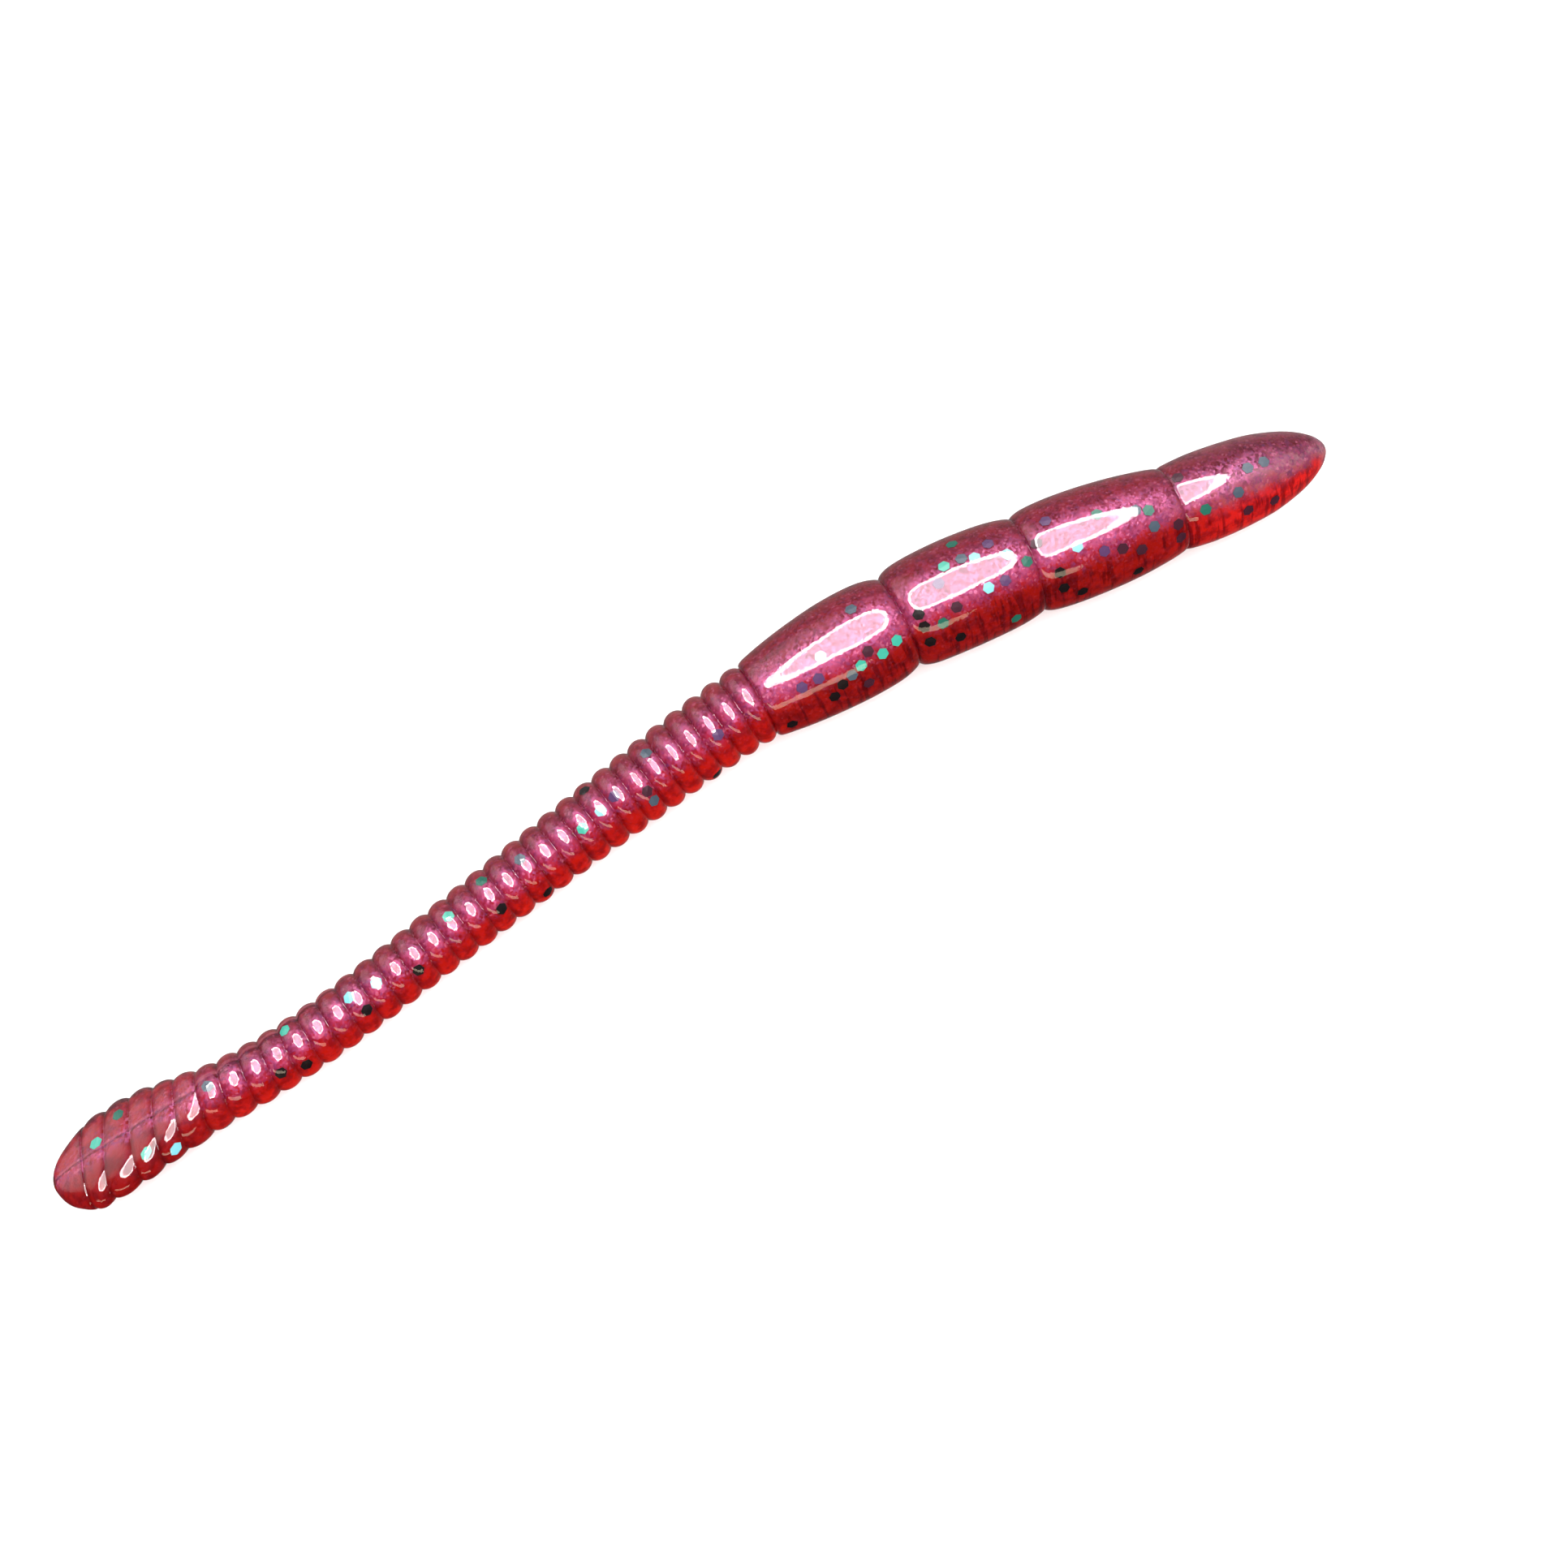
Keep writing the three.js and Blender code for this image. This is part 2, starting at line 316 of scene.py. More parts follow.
def surface_point(along, turn, segment, size):
    """A point of the worm's surface: turn is the angle from straight up towards its left."""
    half, high, flat = section_of(along, segment, 1)
    across = half * size * math.sin(turn)
    pressed = high * math.cos(turn) / flat
    rise = flat * size * pressed / (1 + abs(pressed) ** FLATTENING) ** (1 / FLATTENING)
    slant = straight_between(slants, along)
    point, course = line_at((along + slant * across) * MM)
    level = Vector((0, 0, 1)).cross(course).normalized()
    twist = Matrix.Rotation(math.radians(straight_between(TWISTS, along)), 3, course)
    left = twist @ level
    up = course.cross(left)
    place = point + left * (across * MM) + up * (rise * MM)
    place.z = max(place.z, (FLOOR_CLEARANCE + (1 - size) * UNDERSIDE_WALL) * MM)
    return place, (along, across, rise)


# Where the rows of corners lie: shares of half a ring or rib, and millimetres from a head groove.
RING_ROWS = [0, 0.18, 0.36, 0.53, 0.68, 0.81, 0.9, 0.96, 1]
HEAD_ROWS = [0.03, 0.08, 0.15, 0.25, 0.38, 0.55, 0.8, 1.1, 1.5, 2, 2.6, 3.3, 4.1, 5, 5.9, 6.8]
LAST_ROW_GAP = 0.3


def rows_from_groove(half_length, in_head):
    """Distances from a groove out to the middle of the segment beside it, in mm."""
    if not in_head:
        return [half_length * (1 - row) for row in RING_ROWS]
    rows = [row for row in HEAD_ROWS if row < half_length - LAST_ROW_GAP]
    return [half_length, *reversed(rows), 0]


def stations_across(groove):
    """(distance, segment) from the middle of one segment over a groove to the next middle."""
    before, after = groove - 1, groove
    at = reach[groove] / MM
    near_half = at - middles[before] / MM
    far_half = middles[after] / MM - at
    near = rows_from_groove(near_half, before > RIBS + RINGS)
    far = rows_from_groove(far_half, after > RIBS + RINGS)
    stations = [(at - row, before) for row in near]
    stations += [(at + row, after) for row in reversed(far)][1:]
    return stations


# Where the line left by the two halves of the mould runs: millimetres from the tail, degrees.
SEAM_TURNS = [(12.4, 0), (14.3, 11), (16.2, 26), (18.1, 36), (20, 41), (23.7, 52), (46, 90)]
CORNERS_AROUND = 56


def laid_tube(name, stations, size, tip=None):
    """A length of the worm's skin or heart, open at its ends, or closed at a tip."""
    corners, laid, faces = [], [], []
    for along, segment in stations:
        for step in range(CORNERS_AROUND):
            turn = 2 * math.pi * step / CORNERS_AROUND
            place, as_measured = surface_point(along, turn, segment, size)
            corners.append(place)
            laid.append(as_measured)
    for row in range(len(stations) - 1):
        near = row * CORNERS_AROUND
        far = near + CORNERS_AROUND
        for step in range(CORNERS_AROUND):
            after = (step + 1) % CORNERS_AROUND
            faces.append((near + step, far + step, far + after, near + after))
    if tip is not None:
        along, at_start = tip
        point, _ = line_at(along * MM)
        corners.append(point)
        laid.append((along, 0, 0))
        row = 0 if at_start else (len(stations) - 1) * CORNERS_AROUND
        for step in range(CORNERS_AROUND):
            after = (step + 1) % CORNERS_AROUND
            edge = (row + step, row + after) if at_start else (row + after, row + step)
            faces.append((len(corners) - 1, *edge))
    mesh = bpy.data.meshes.new(name)
    mesh.from_pydata(corners, [], faces)
    mesh.polygons.foreach_set("use_smooth", [True] * len(faces))
    as_laid = mesh.attributes.new("as_laid", "FLOAT_VECTOR", "POINT")
    as_laid.data.foreach_set("vector", [part for point in laid for part in point])
    from_groove = mesh.attributes.new("from_groove", "FLOAT", "POINT")
    from_groove.data.foreach_set(
        "value", [min(abs(point[0] - groove / MM) for groove in reach[1:-1]) for point in laid]
    )
    seam = mesh.attributes.new("seam_turn", "FLOAT", "POINT")
    seam.data.foreach_set(
        "value", [math.radians(straight_between(SEAM_TURNS, point[0])) for point in laid]
    )
    piece = bpy.data.objects.new(name, mesh)
    bpy.context.scene.collection.objects.link(piece)
    return piece


def bend_round(piece, groove):
    """Bakes a length of the worm's placement into its mesh."""
    centre, course = line_at(reach[groove])
    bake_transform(piece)


def new_material(name):
    material = bpy.data.materials.new(name)
    material.use_nodes = True
    material.node_tree.nodes.clear()
    return material


def add_node(material, kind, **settings):
    """A shader node. Settings with a capital are its inputs, and the others its own."""
    node = material.node_tree.nodes.new(kind)
    for key, value in settings.items():
        if key[0].isupper():
            node.inputs[key.replace("_", " ")].default_value = value
        else:
            setattr(node, key, value)
    return node


def join(material, output, target):
    material.node_tree.links.new(output, target)


clear_plastic = new_material("clear_soft_plastic")
clear_coat = add_node(
    clear_plastic,
    "ShaderNodeBsdfPrincipled",
    Base_Color=(1.0, 0.84, 0.84, 1),
    Roughness=0.035,
    IOR=1.45,
    Transmission_Weight=1.0,
)
place_on_worm = add_node(clear_plastic, "ShaderNodeAttribute", attribute_name="as_laid")
mould_marks = add_node(
    clear_plastic, "ShaderNodeTexNoise", Scale=1.3, Detail=3.0, Roughness=0.55
)
mark_relief = add_node(clear_plastic, "ShaderNodeBump", Strength=0.25, Distance=0.00006)
clear_out = add_node(clear_plastic, "ShaderNodeOutputMaterial")
join(clear_plastic, place_on_worm.outputs["Vector"], mould_marks.inputs["Vector"])
join(clear_plastic, mould_marks.outputs["Fac"], mark_relief.inputs["Height"])
join(clear_plastic, mark_relief.outputs["Normal"], clear_coat.inputs["Normal"])
join(clear_plastic, clear_coat.outputs["BSDF"], clear_out.inputs["Surface"])


TIP_ROWS = {"tail_tip": 12, "nose": 18}


def tip_stations(segment, end):
    """(distance, segment) from a tip to the middle of its segment, closest near the tip."""
    length = middles[segment] / MM - end
    rows = TIP_ROWS[segments[segment]]
    return [(end + length * (row / rows) ** 2, segment) for row in range(1, rows + 1)]


def finish_skin(piece):
    piece.data.materials.append(clear_plastic)
    piece.visible_shadow = False
    piece.visible_diffuse = False
    piece.visible_glossy = False


def outer_name(groove):
    """Of the two segments at a groove, the one further from the rear barrel."""
    return segments[groove if groove > segments.index("barrel_rear") else groove - 1]


for groove in range(1, len(segments)):
    stands_for = outer_name(groove)
    skin = laid_tube("skin_" + stands_for, stations_across(groove), 1)
    finish_skin(skin)
    bend_round(skin, groove)
    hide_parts(stands_for)
    if stands_for == "ring_01":
        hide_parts("barrel_rear")

tail_skin = laid_tube("skin_tail_end", tip_stations(0, 0), 1, tip=(0, True))
finish_skin(tail_skin)
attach(tail_skin, "tail_tip")

last = len(segments) - 1
nose_end = reach[-1] / MM
nose_stations = tip_stations(last, nose_end)[::-1]
nose_skin = laid_tube("skin_nose_end", nose_stations, 1, tip=(nose_end, False))
finish_skin(nose_skin)
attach(nose_skin, "nose")


# ---------------------------------------------------------------------------------------------
# The coloured heart.
# The red dye and violet pearl powder lie deeper in the plastic. Its colours carry painted light:
# a painted glow of light passing through, bright red low down, and a painted violet pearl sheen
# round the lamp's highlight near the top. It fills the worm just under the clear outer plastic.

HEART_SIZE = 0.95
HEART_SHORT_OF_TAIL = 0.4
HEART_SHORT_OF_NOSE = 0.5

heart_plastic = new_material("red_violet_pearl_plastic_and_painted_light")


def sum_of(material, kind, first, second=None, third=None):
    """A sum, of the kind asked, over sockets or plain numbers."""
    node = add_node(material, "ShaderNodeMath", operation=kind)
    for slot_number, value in enumerate((first, second, third)):
        if value is None:
            continue
        if isinstance(value, (int, float)):
            node.inputs[slot_number].default_value = value
        else:
            join(material, value, node.inputs[slot_number])
    return node.outputs["Value"]


def share_between(material, value, low, high):
    """0 where a value is under low, and 1 where it is over high."""
    node = add_node(
        material,
        "ShaderNodeMapRange",
        interpolation_type="SMOOTHSTEP",
        From_Min=low,
        From_Max=high,
    )
    join(material, value, node.inputs["Value"])
    return node.outputs["Result"]


def colour_steps(material, value, steps, smooth="EASE"):
    """A colour ramp over a value, from (share, colour) pairs."""
    ramp = add_node(material, "ShaderNodeValToRGB")
    ramp.color_ramp.interpolation = smooth
    while len(ramp.color_ramp.elements) < len(steps):
        ramp.color_ramp.elements.new(0.5)
    for element, (share, colour) in zip(ramp.color_ramp.elements, steps):
        element.position = share
        element.color = (*colour, 1)
    join(material, value, ramp.inputs["Fac"])
    return ramp.outputs["Color"]


def turned_steps(material, value, steps):
    """A colour ramp from (degrees from straight up, colour) pairs, the same below as at 180."""
    shares = [(0.5 + degrees / 360, colour) for degrees, colour in steps]
    return colour_steps(material, value, shares)


def mixed(material, factor, first, second, blend="MIX"):
    """Two colours mixed: each a socket or a plain colour."""
    node = add_node(material, "ShaderNodeMix", data_type="RGBA", blend_type=blend)
    for target, value in ((0, factor), (6, first), (7, second)):
        if isinstance(value, (int, float)):
            node.inputs[target].default_value = value
        elif isinstance(value, tuple):
            node.inputs[target].default_value = (*value, 1)
        else:
            join(material, value, node.inputs[target])
    return node.outputs[2]


def noise(material, place, scale, detail=3.0, stretch=None):
    """Smooth noise over the plastic, stretched along one way if asked."""
    if stretch:
        stretched = add_node(material, "ShaderNodeVectorMath", operation="MULTIPLY")
        stretched.inputs[1].default_value = stretch
        join(material, place, stretched.inputs[0])
        place = stretched.outputs["Vector"]
    node = add_node(material, "ShaderNodeTexNoise", Scale=scale, Detail=detail, Roughness=0.6)
    join(material, place, node.inputs["Vector"])
    return node.outputs["Fac"]


heart_place = add_node(heart_plastic, "ShaderNodeAttribute", attribute_name="as_laid")
laid_at = heart_place.outputs["Vector"]
split = add_node(heart_plastic, "ShaderNodeSeparateXYZ")
join(heart_plastic, laid_at, split.inputs["Vector"])
along_worm = split.outputs["X"]

# How far round the worm, from its underside through its back: 0.5 is straight up. The colours sway
# to and fro along it, by up to SWAY radians.
SWAY = 0.7
cloud = noise(heart_plastic, laid_at, 0.6)
turn_round = sum_of(heart_plastic, "ARCTAN2", split.outputs["Y"], split.outputs["Z"])
swayed = sum_of(heart_plastic, "MULTIPLY_ADD", cloud, SWAY, turn_round)
straight_up = 0.5 - SWAY / (4 * math.pi)
round_share = sum_of(heart_plastic, "MULTIPLY_ADD", swayed, 0.5 / math.pi, straight_up)

# Degrees from straight up towards the left, and the colour there: the red dye with painted light in
# it, brighter red low down for a painted glow of light passing through, and violet and pink round
# the lamp's highlight for a painted pearl sheen and highlight veil.
# Barrels: the magenta from -28 to 0 degrees is a painted pearl sheen just under the lamp's
# highlight.
BARREL_DYE_AND_PAINTED_LIGHT = [
    (-180, (0.28, 0.006, 0.003)),
    (-72, (0.36, 0.007, 0.002)),
    (-50, (0.34, 0.007, 0.002)),
    (-38, (0.42, 0.012, 0.005)),
    (-28, (0.50, 0.022, 0.030)),
    (-18, (0.54, 0.070, 0.145)),
    (0, (0.44, 0.062, 0.125)),
    (20, (0.33, 0.028, 0.055)),
    (34, (0.27, 0.010, 0.018)),
    (64, (0.24, 0.008, 0.008)),
    (110, (0.26, 0.008, 0.005)),
    (180, (0.28, 0.006, 0.003)),
]
# Nose: bright red low down is painted glow, the pale pink from -28 to 4 degrees a painted highlight
# veil, and the pale band at 54 degrees a painted reflection.
NOSE_DYE_AND_PAINTED_LIGHT = [
    (-180, (0.34, 0.010, 0.006)),
    (-80, (0.85, 0.016, 0.008)),
    (-50, (0.82, 0.018, 0.012)),
    (-40, (0.66, 0.030, 0.035)),
    (-28, (0.44, 0.110, 0.120)),
    (-12, (0.42, 0.200, 0.240)),
    (4, (0.26, 0.070, 0.100)),
    (22, (0.15, 0.012, 0.020)),
    (54, (0.26, 0.060, 0.070)),
    (110, (0.26, 0.014, 0.014)),
    (180, (0.34, 0.010, 0.006)),
]
# Rings: the bright red at -84 degrees is painted glow along the lower edge, and the violet from -12
# to 22 degrees a painted sheen.
RING_DYE_AND_PAINTED_LIGHT = [
    (-180, (0.42, 0.010, 0.004)),
    (-84, (0.72, 0.016, 0.004)),
    (-58, (0.54, 0.010, 0.003)),
    (-36, (0.47, 0.008, 0.004)),
    (-25, (0.47, 0.009, 0.014)),
    (-12, (0.46, 0.024, 0.065)),
    (6, (0.40, 0.045, 0.110)),
    (22, (0.31, 0.040, 0.075)),
    (42, (0.30, 0.030, 0.034)),
    (62, (0.36, 0.036, 0.034)),
    (100, (0.42, 0.018, 0.010)),
    (180, (0.42, 0.010, 0.004)),
]
# Paddle: the dark band from 76 to 96 degrees is painted shade on its far rounded edge.
PADDLE_DYE_AND_PAINTED_LIGHT = [
    (-180, (0.36, 0.010, 0.006)),
    (-90, (0.34, 0.007, 0.004)),
    (-62, (0.36, 0.010, 0.008)),
    (-40, (0.42, 0.040, 0.055)),
    (-10, (0.46, 0.030, 0.045)),
    (25, (0.46, 0.028, 0.034)),
    (60, (0.46, 0.040, 0.038)),
    (76, (0.16, 0.024, 0.024)),
    (96, (0.10, 0.018, 0.018)),
    (180, (0.36, 0.010, 0.006)),
]
barrel_dye_and_painted_light = turned_steps(heart_plastic, round_share, BARREL_DYE_AND_PAINTED_LIGHT)
nose_dye_and_painted_light = turned_steps(heart_plastic, round_share, NOSE_DYE_AND_PAINTED_LIGHT)
ring_dye_and_painted_light = turned_steps(heart_plastic, round_share, RING_DYE_AND_PAINTED_LIGHT)
paddle_dye_and_painted_light = turned_steps(heart_plastic, round_share, PADDLE_DYE_AND_PAINTED_LIGHT)
past_paddle = share_between(heart_plastic, along_worm, 10.5, 17)
past_rings = share_between(heart_plastic, along_worm, 66.5, 70)
past_barrels = share_between(heart_plastic, along_worm, 101, 113)
body_colour = mixed(heart_plastic, past_paddle, paddle_dye_and_painted_light, ring_dye_and_painted_light)
body_colour = mixed(heart_plastic, past_rings, body_colour, barrel_dye_and_painted_light)
body_colour = mixed(heart_plastic, past_barrels, body_colour, nose_dye_and_painted_light)

# Darker in the grooves: painted shade, where the light is caught.
beside_groove = add_node(heart_plastic, "ShaderNodeAttribute", attribute_name="from_groove")
painted_groove_shade = share_between(heart_plastic, beside_groove.outputs["Fac"], 0.45, 0.05)
painted_groove_shade = sum_of(heart_plastic, "MULTIPLY", painted_groove_shade, 0.8)
body_colour = mixed(heart_plastic, painted_groove_shade, body_colour, (0.55, 0.20, 0.22), "MULTIPLY")

# The seam of the mould, a hairline in the plastic along the tail, with a paler painted glint beside
# it where a raised edge would catch the light.
seam_turn = add_node(heart_plastic, "ShaderNodeAttribute", attribute_name="seam_turn")
seam_gap = sum_of(heart_plastic, "SUBTRACT", turn_round, seam_turn.outputs["Fac"])
from_seam = sum_of(heart_plastic, "ABSOLUTE", seam_gap)
dark_seam = share_between(heart_plastic, from_seam, 0.11, 0.05)
# The paler line beside the seam is a painted glint.
seam_glint_gap = sum_of(heart_plastic, "SUBTRACT", seam_gap, 0.17)
from_seam_glint = sum_of(heart_plastic, "ABSOLUTE", seam_glint_gap)
painted_seam_glint = share_between(heart_plastic, from_seam_glint, 0.1, 0.04)
on_tail = share_between(heart_plastic, along_worm, 34, 24)
dark_seam = sum_of(heart_plastic, "MULTIPLY", dark_seam, on_tail)
painted_seam_glint = sum_of(heart_plastic, "MULTIPLY", painted_seam_glint, on_tail)
painted_seam_glint = sum_of(heart_plastic, "MULTIPLY", painted_seam_glint, 0.35)
body_colour = mixed(heart_plastic, dark_seam, body_colour, (0.45, 0.15, 0.20), "MULTIPLY")
body_colour = mixed(heart_plastic, painted_seam_glint, body_colour, (0.60, 0.22, 0.26))

# The nub where the plastic was poured in, pale.
pour_nub = share_between(heart_plastic, along_worm, 118.3, 119.6)
pour_nub = sum_of(heart_plastic, "MULTIPLY", pour_nub, 0.7)
body_colour = mixed(heart_plastic, pour_nub, body_colour, (0.46, 0.26, 0.29))

# Clouds of thicker and thinner pearl, and pleats that hang down the sides of the barrels.
thick_pearl = noise(heart_plastic, laid_at, 1.2, 5.0)
blotches = share_between(heart_plastic, thick_pearl, 0.42, 0.62)
body_colour = mixed(heart_plastic, blotches, body_colour, (0.60, 0.46, 0.62), "MULTIPLY")
upright_folds = noise(heart_plastic, laid_at, 1.0, 2.0, stretch=(1.9, 0.5, 0.12))
pleats = share_between(heart_plastic, upright_folds, 0.5, 0.6)
low_down = share_between(heart_plastic, round_share, 0.43, 0.36)
pleat_share = sum_of(heart_plastic, "MULTIPLY", pleats, low_down)
pleat_share = sum_of(heart_plastic, "MULTIPLY", pleat_share, past_rings)
body_colour = mixed(heart_plastic, pleat_share, body_colour, (0.50, 0.32, 0.32), "MULTIPLY")

# Pearl grains: fine cells, each its own tint, some painted bright as sparkle, shown most in a
# painted sheen band round the lamp's highlight on the back.
grains = add_node(heart_plastic, "ShaderNodeTexVoronoi", Scale=5.0)
join(heart_plastic, laid_at, grains.inputs["Vector"])
grain_parts = add_node(heart_plastic, "ShaderNodeSeparateColor")
join(heart_plastic, grains.outputs["Color"], grain_parts.inputs["Color"])
grain_tint = colour_steps(
    heart_plastic,
    grain_parts.outputs["Red"],
    [
        (0.0, (0.06, 0.006, 0.12)),
        (0.4, (0.32, 0.010, 0.10)),
        (0.8, (0.46, 0.040, 0.14)),
        (1.0, (0.75, 0.22, 0.36)),
    ],
    "LINEAR",
)
# Painted sheen: the grains show most from -22 to 10 degrees, round the lamp's highlight.
painted_sheen_band = turned_steps(
    heart_plastic,
    round_share,
    [
        (-180, (0.0, 0.0, 0.0)),
        (-45, (0.05, 0.05, 0.05)),
        (-22, (0.60, 0.60, 0.60)),
        (10, (0.50, 0.50, 0.50)),
        (34, (0.30, 0.30, 0.30)),
        (80, (0.12, 0.12, 0.12)),
        (180, (0.0, 0.0, 0.0)),
    ],
)
grain_share = sum_of(heart_plastic, "MULTIPLY", painted_sheen_band, grain_parts.outputs["Green"])
heart_colour = mixed(heart_plastic, grain_share, body_colour, grain_tint)

lit = add_node(heart_plastic, "ShaderNodeBsdfDiffuse")
glow = add_node(heart_plastic, "ShaderNodeBsdfTranslucent")
for shader in (lit, glow):
    join(heart_plastic, heart_colour, shader.inputs["Color"])
soft_red = add_node(heart_plastic, "ShaderNodeMixShader", Fac=0.4)
join(heart_plastic, lit.outputs["BSDF"], soft_red.inputs[1])
join(heart_plastic, glow.outputs["BSDF"], soft_red.inputs[2])
pearl = add_node(
    heart_plastic,
    "ShaderNodeBsdfPrincipled",
    Base_Color=(0.9, 0.35, 0.7, 1),
    Metallic=1.0,
    Roughness=0.38,
)
grain_relief = add_node(heart_plastic, "ShaderNodeBump", Strength=0.6, Distance=0.00004)
join(heart_plastic, grain_parts.outputs["Blue"], grain_relief.inputs["Height"])
join(heart_plastic, grain_relief.outputs["Normal"], pearl.inputs["Normal"])
pearled = add_node(heart_plastic, "ShaderNodeMixShader")
pearl_share = sum_of(heart_plastic, "MULTIPLY", grain_share, 0.13)
join(heart_plastic, pearl_share, pearled.inputs["Fac"])
join(heart_plastic, soft_red.outputs["Shader"], pearled.inputs[1])
join(heart_plastic, pearl.outputs["BSDF"], pearled.inputs[2])

# Light that passes through the worm comes out pink, so its shadow is a faint pink one.
passed_light = add_node(
    heart_plastic, "ShaderNodeBsdfTransparent", Color=(0.97, 0.84, 0.83, 1)
)
light_path = add_node(heart_plastic, "ShaderNodeLightPath")
through = add_node(heart_plastic, "ShaderNodeMixShader")
join(heart_plastic, light_path.outputs["Is Shadow Ray"], through.inputs["Fac"])
join(heart_plastic, pearled.outputs["Shader"], through.inputs[1])
join(heart_plastic, passed_light.outputs["BSDF"], through.inputs[2])
heart_out = add_node(heart_plastic, "ShaderNodeOutputMaterial")
join(heart_plastic, through.outputs["Shader"], heart_out.inputs["Surface"])


def finish_heart(piece):
    piece.data.materials.append(heart_plastic)


for groove in range(1, len(segments)):
    lies_in = outer_name(groove)
    heart = laid_tube("heart_" + lies_in, stations_across(groove), HEART_SIZE)
    finish_heart(heart)
    bend_round(heart, groove)

tail_heart = laid_tube(
    "heart_tail_end",
    tip_stations(0, HEART_SHORT_OF_TAIL),
    HEART_SIZE,
    tip=(HEART_SHORT_OF_TAIL, True),
)
finish_heart(tail_heart)
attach(tail_heart, "tail_tip")

heart_nose_end = nose_end - HEART_SHORT_OF_NOSE
nose_heart = laid_tube(
    "heart_nose_end",
    tip_stations(last, heart_nose_end)[::-1],
    HEART_SIZE,
    tip=(heart_nose_end, False),
)
finish_heart(nose_heart)
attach(nose_heart, "nose")


# ---------------------------------------------------------------------------------------------
# The glitter.
# Hexagons of metallised film, 1 mm across, scattered through the plastic as it was poured. Most are
# teal and some violet. All lie along the surface; the pale cyan film is a painted glint for flakes
# that catch the light, and the near-black films are painted shade for those turned away from it.

# Across the flats, and the least distance from a flake's middle to a groove, in mm.
FLAKE_ACROSS = 0.88
FLAKE_FROM_GROOVE = 0.65
# How deep its two faces lie, as shares of the worm's own size.
FLAKE_UNDER = 0.968
FLAKE_TOP = 0.982
CENTRE = 6

flake_films = {}
# The pale cyan film is a painted glint, and the near-black films are painted shade.
for film, colour, gloss in (
    ("teal", (0.03, 0.40, 0.29), 0.3),
    ("sky", (0.20, 0.62, 0.70), 0.3),
    ("green", (0.006, 0.12, 0.08), 0.2),
    ("grey", (0.05, 0.08, 0.11), 0.2),
    ("violet", (0.08, 0.03, 0.11), 0.2),
    ("dark", (0.045, 0.008, 0.02), 0.15),
    ("black", (0.006, 0.003, 0.004), 0.1),
):
    flake_film = new_material("flake_film_" + film)
    foil = add_node(
        flake_film,
        "ShaderNodeBsdfPrincipled",
        Base_Color=(*colour, 1),
        Specular_IOR_Level=gloss,
        Roughness=0.35,
    )
    foil_out = add_node(flake_film, "ShaderNodeOutputMaterial")
    join(flake_film, foil.outputs["BSDF"], foil_out.inputs["Surface"])
    flake_films[film] = flake_film


def segment_at(along):
    """The number of the segment that a distance from the tail, in mm, falls in."""
    return max(0, min(last, bisect.bisect_right(reach, along * MM) - 1))


def flake_corners(along, degrees, segment, spin):
    """The corners of a hexagon flake that lies just under the surface, and its two centres."""
    turn = math.radians(degrees)
    half, high, _ = section_of(along, segment, 0)
    steepness = math.hypot(half * math.cos(turn), high * math.sin(turn))
    corners = []
    for depth in (FLAKE_UNDER, FLAKE_TOP):
        for corner in range(CENTRE + 1):
            angle = spin + math.pi * corner / 3
            out = 0 if corner == CENTRE else FLAKE_ACROSS / math.sqrt(3)
            place, _ = surface_point(
                along + out * math.cos(angle),
                turn + out * math.sin(angle) / steepness,
                segment,
                depth,
            )
            corners.append(place)
    return corners


hex_faces = []
above = CENTRE + 1
for side in range(6):
    after = (side + 1) % 6
    hex_faces.append((CENTRE, after, side))
    hex_faces.append((above + CENTRE, above + side, above + after))
    hex_faces.append((side, after, above + after, above + side))

# The flakes that show on the back, film by film: millimetres from the tail's tip, and degrees from
# straight up towards the left.
SEEN_FLAKES = {
    "teal": [(4.5, 10), (8.5, -45), (21.5, 35), (38, 15), (50.5, -10), (76.5, -35), (78.5, -35),
             (80, -30), (86, 20)],
    "sky": [(11, -75), (27, 10), (30, 0), (52.5, -5), (74, -5), (88.5, -20), (88.5, 15), (91, 5),
            (96.5, -15)],
    "green": [(6.5, 30), (41.5, 30), (84, -35), (87.5, 45), (90, -70), (92.5, -10), (99, 10),
              (103, -5), (107.5, -30)],
    "grey": [(14.5, 0), (45, 15), (57, -45), (58.5, 25), (75.5, -40), (78, 25), (87.5, 20),
             (102, 0), (103, -25), (110.5, -25), (112, 0), (113.5, 0)],
    "violet": [(54, 0), (64.5, -20), (71.5, -25), (73, -25), (85, 5), (90, 25), (90, -20),
               (95, 25), (98.5, -30)],
    "dark": [(56.5, -25), (76.5, -60), (77.5, -25), (85.5, -25), (93, 5), (100, -35), (101.5, -45),
             (105, -55), (105, -35), (106, 25), (111, -55), (113.5, -60)],
    "black": [(20, -35), (22, -50), (28.5, -30), (33, -30), (42, -35), (45.5, -70), (52.5, 45),
              (62, -85), (69.5, -70), (73.5, -55), (74.5, -45), (82.5, -50), (82.5, -30),
              (82.5, -15), (85, -60), (94.5, -35), (94.5, -55), (96, -70), (101, -75)],
}

# More of them lie along the sides and the underside.
scattered = random.Random(41)
hidden_flakes = []
along = 3.0
while along < 115:
    degrees = scattered.uniform(105, 250)
    film = scattered.choice(["teal", "green", "grey", "violet", "dark", "black", "black"])
    hidden_flakes.append((along, degrees, film))
    along += scattered.uniform(0.7, 2.4)

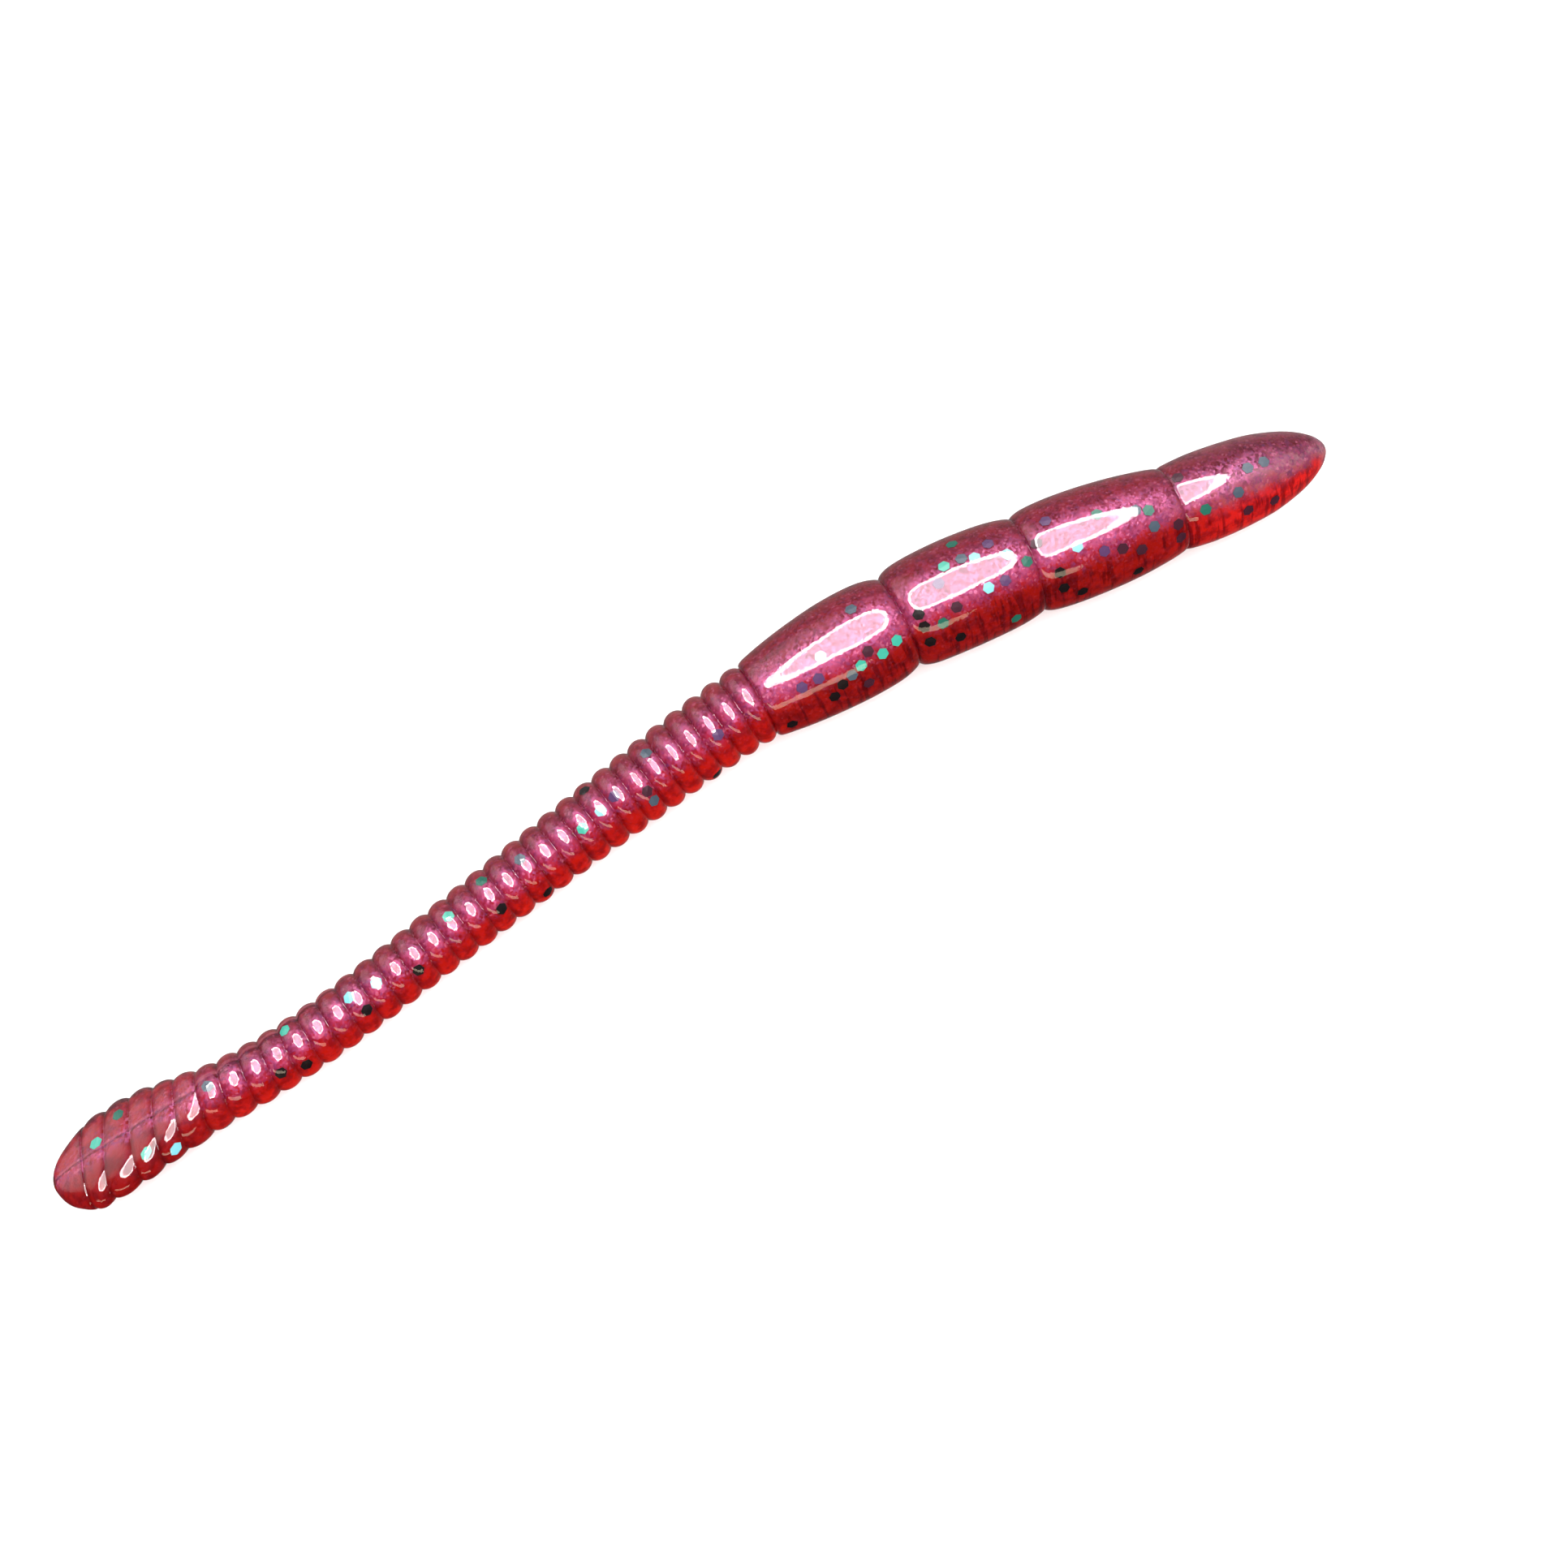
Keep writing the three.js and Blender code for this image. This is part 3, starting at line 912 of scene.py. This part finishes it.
seen_flakes = [(*place, film) for film, places in SEEN_FLAKES.items() for place in places]
flakes_on = {}
for along, degrees, film in seen_flakes + hidden_flakes:
    segment = segment_at(along)
    # No flake reaches into a groove.
    nearest = reach[segment] / MM + FLAKE_FROM_GROOVE
    furthest = reach[segment + 1] / MM - FLAKE_FROM_GROOVE
    along = max(nearest, min(furthest, along))
    corners = flake_corners(along, degrees, segment, scattered.uniform(0, math.pi))
    flakes_on.setdefault(segment, []).append((corners, film))

for segment, flakes in flakes_on.items():
    name = "flakes_" + segments[segment]
    mesh = bpy.data.meshes.new(name)
    corners, faces, films = [], [], []
    for flake, film in flakes:
        first = len(corners)
        corners += flake
        faces += [tuple(first + corner for corner in face) for face in hex_faces]
        films += [list(flake_films).index(film)] * len(hex_faces)
    mesh.from_pydata(corners, [], faces)
    for flake_film in flake_films.values():
        mesh.materials.append(flake_film)
    mesh.polygons.foreach_set("material_index", films)
    piece = bpy.data.objects.new(name, mesh)
    bpy.context.scene.collection.objects.link(piece)
    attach(piece, segments[segment])


# ---------------------------------------------------------------------------------------------
# The floor, the lights and the camera.
# A plain pale surface, a ring lamp over the worm, a soft key near the camera, a warm strip that
# shows only in the gloss, and a camera almost straight above.

FLOOR_REACH = 3.0
FLOOR_TOP = -0.1 * MM
floor_mesh = bpy.data.meshes.new("floor")
floor_mesh.from_pydata(
    [
        (-FLOOR_REACH, -FLOOR_REACH, FLOOR_TOP),
        (FLOOR_REACH, -FLOOR_REACH, FLOOR_TOP),
        (FLOOR_REACH, FLOOR_REACH, FLOOR_TOP),
        (-FLOOR_REACH, FLOOR_REACH, FLOOR_TOP),
    ],
    [],
    [(0, 1, 2, 3)],
)
floor = bpy.data.objects.new("floor", floor_mesh)
bpy.context.scene.collection.objects.link(floor)
pale_table = new_material("pale_table")
table_paint = add_node(
    pale_table, "ShaderNodeBsdfPrincipled", Base_Color=(0.97, 0.97, 0.97, 1), Roughness=0.7
)
table_out = add_node(pale_table, "ShaderNodeOutputMaterial")
join(pale_table, table_paint.outputs["BSDF"], table_out.inputs["Surface"])
floor.data.materials.append(pale_table)
floor.visible_glossy = False

# The camera looks down 12 degrees off upright, and the worm lies 31 degrees across its view.
ELEVATION = math.radians(78)
CHORD = math.radians(31)
CAMERA_DISTANCE = 0.269
LENS = 76.4
aim = Vector((0.00653, -0.00474, 0.0035))
view_right = Vector((math.cos(CHORD), -math.sin(CHORD), 0))
away = Vector((math.sin(CHORD), math.cos(CHORD), 0))
looking = away * math.cos(ELEVATION) - Vector((0, 0, 1)) * math.sin(ELEVATION)
view_up = view_right.cross(looking)


def facing(place, forward, upward):
    """A matrix at a place that looks along forward, with upward at the top."""
    side = forward.cross(upward).normalized()
    top = side.cross(forward).normalized()
    turned = Matrix((side, top, -forward)).transposed()
    return Matrix.Translation(place) @ turned.to_4x4()


lens = bpy.data.cameras.new("camera")
lens.lens = LENS
lens.sensor_width = 36
lens.clip_start = 0.01
lens.clip_end = 20
camera = bpy.data.objects.new("camera", lens)
bpy.context.scene.collection.objects.link(camera)
camera.matrix_world = facing(aim - looking * CAMERA_DISTANCE, looking, view_up)
bpy.context.scene.camera = camera


def add_lamp(name, place, width, height, power, colour=(1, 1, 1)):
    lamp = bpy.data.lights.new(name, "AREA")
    lamp.shape = "RECTANGLE"
    lamp.size = width
    lamp.size_y = height
    lamp.energy = power
    lamp.color = colour
    holder = bpy.data.objects.new(name, lamp)
    bpy.context.scene.collection.objects.link(holder)
    towards = (aim - place).normalized()
    upward = away if abs(towards.dot(away)) < 0.9 else Vector((0, 0, 1))
    holder.matrix_world = facing(place, towards, upward)
    holder.visible_camera = False
    return holder


def towards_light(up_degrees, right_degrees):
    """The way from the worm to a light, turned from the camera's towards its top and right."""
    up = math.tan(math.radians(up_degrees))
    right = math.tan(math.radians(right_degrees))
    return (-looking + view_up * up + view_right * right).normalized()


def shine_only(holder):
    """A lamp that shows in the gloss but lights nothing."""
    holder.visible_diffuse = False
    return holder


RING_LAMP_DISTANCE = 0.33
RING_LAMP_RADIUS = 0.15
RING_LAMP_PANELS = 18
RING_LAMP_WIDTH = 0.045
PANEL_OVERLAP = 1.04
PANEL_POWER = 0.22
lamp_way = towards_light(26, 0)
lamp_centre = aim + lamp_way * RING_LAMP_DISTANCE
lamp_side = lamp_way.cross(view_up).normalized()
lamp_top = lamp_side.cross(lamp_way).normalized()
panel_length = 2 * RING_LAMP_RADIUS * math.tan(math.pi / RING_LAMP_PANELS) * PANEL_OVERLAP
for panel in range(RING_LAMP_PANELS):
    angle = 2 * math.pi * panel / RING_LAMP_PANELS
    spoke = lamp_side * math.cos(angle) + lamp_top * math.sin(angle)
    place = lamp_centre + spoke * RING_LAMP_RADIUS
    panel_lamp = add_lamp(f"ring_lamp_{panel}", place, panel_length, RING_LAMP_WIDTH, PANEL_POWER)
    panel_lamp.matrix_world = facing(place, -lamp_way, spoke)
    shine_only(panel_lamp)

ring_middle = add_lamp("ring_lamp_middle", lamp_centre, 0.27, 0.27, 2.0)
ring_middle.data.shape = "DISK"
ring_middle.matrix_world = facing(lamp_centre, -lamp_way, lamp_top)
shine_only(ring_middle)

key = add_lamp("soft_key", aim + towards_light(8, 0) * 0.6, 0.5, 0.5, 3.5)
key.visible_glossy = False
shine_only(add_lamp("warm_strip", aim + towards_light(-44, 0) * 0.5, 0.6, 0.1, 1.0, (1, 0.85, 0.6)))

# An even pale room. The gloss sees its far wall bright, its near side, behind the camera, dark,
# and a window up on the left.
studio = bpy.data.worlds.new("studio")
studio.use_nodes = True
studio.node_tree.nodes.clear()
window_way = (view_right * -0.75 + away * 0.48 + Vector((0, 0, 0.46))).normalized()
looked_at = add_node(studio, "ShaderNodeTexCoord").outputs["Generated"]


def towards_share(way):
    """How nearly a part of the room lies in a direction: 1 is straight that way."""
    node = add_node(studio, "ShaderNodeVectorMath", operation="DOT_PRODUCT")
    node.inputs[1].default_value = way
    join(studio, looked_at, node.inputs[0])
    return node.outputs["Value"]


far_wall = add_node(
    studio, "ShaderNodeMapRange", From_Min=-0.5, From_Max=0.9, To_Min=0.04, To_Max=0.42
)
join(studio, towards_share(away), far_wall.inputs["Value"])
window_share = share_between(studio, towards_share(window_way), 0.8, 1.0)
gloss_light = sum_of(studio, "MULTIPLY_ADD", window_share, 1.6, far_wall.outputs["Result"])
ray = add_node(studio, "ShaderNodeLightPath")
room_light = add_node(studio, "ShaderNodeMix", data_type="FLOAT", A=0.95)
join(studio, ray.outputs["Is Glossy Ray"], room_light.inputs["Factor"])
join(studio, gloss_light, room_light.inputs["B"])
backdrop = add_node(studio, "ShaderNodeBackground", Color=(1, 1, 1, 1))
join(studio, room_light.outputs["Result"], backdrop.inputs["Strength"])
studio_out = add_node(studio, "ShaderNodeOutputWorld")
join(studio, backdrop.outputs["Background"], studio_out.inputs["Surface"])
bpy.context.scene.world = studio
bpy.context.scene.view_settings.view_transform = "Standard"
bpy.context.scene.cycles.use_denoising = True
bpy.context.scene.cycles.max_bounces = 12
bpy.context.scene.cycles.transmission_bounces = 8
bpy.context.scene.cycles.transparent_max_bounces = 16
